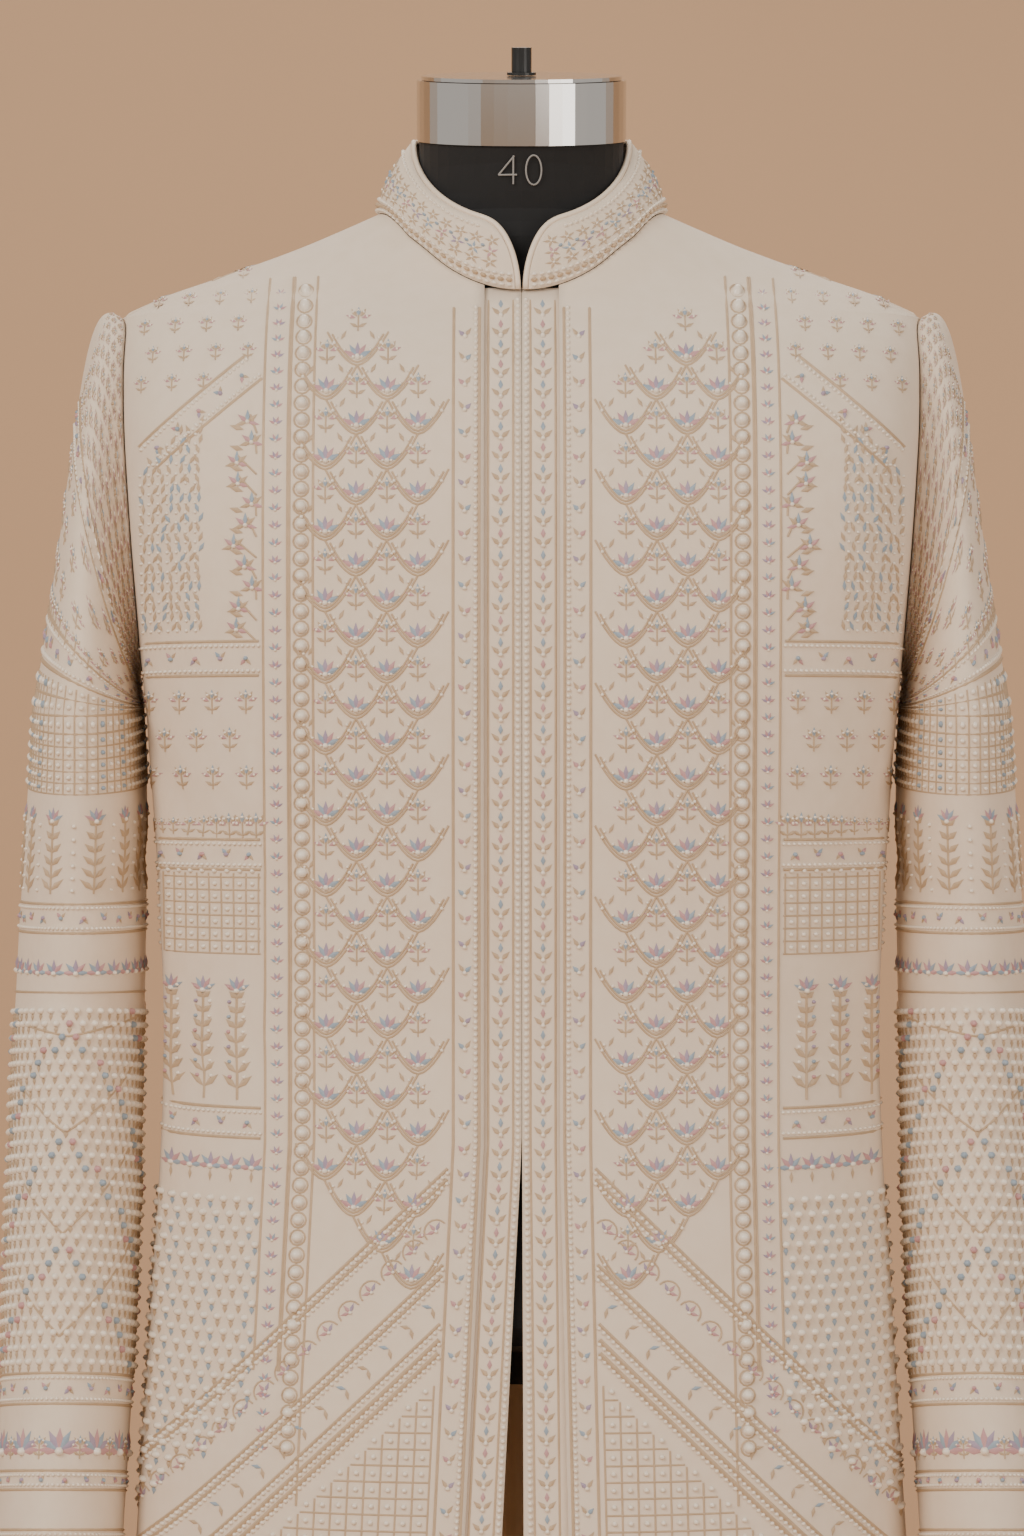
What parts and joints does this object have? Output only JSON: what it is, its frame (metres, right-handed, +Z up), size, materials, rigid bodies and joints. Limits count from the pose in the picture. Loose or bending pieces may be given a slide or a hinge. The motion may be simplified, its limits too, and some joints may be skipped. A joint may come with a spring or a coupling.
{
  "type": "sherwani coat on a limbless dress form",
  "caption": "Knee-length embroidered sherwani coat with a stand collar and open skirt, held by a limbless dress form on a pole stand.",
  "frame": {"origin": "centre of the round stand base's underside, on the floor", "axes": "+Z up; the coat's front faces -Y; +X is towards the viewer's right"},
  "size_m": [0.575, 0.4, 1.5842],
  "materials": {
    "cloth": "ivory cloth covered in beige thread, pearl and bead embroidery",
    "satin": "ivory satin piping",
    "form": "smooth black jersey over a hard form",
    "chrome": "bright chrome",
    "black_metal": "black enamelled steel"
  },
  "bodies": {
    "root": {"front_left": "cloth", "front_right": "cloth", "placket_left": "cloth", "placket_right": "cloth", "back": "cloth", "sleeve_left": "cloth", "sleeve_right": "cloth", "collar": "cloth", "collar_piping": "satin", "form_torso": "form", "neck_band": "chrome", "neck_cap": "chrome", "cap_knob": "black_metal", "form_socket": "black_metal", "stand_pole": "chrome", "stand_hub": "black_metal", "stand_base": "black_metal"}
  },
  "joints": []
}
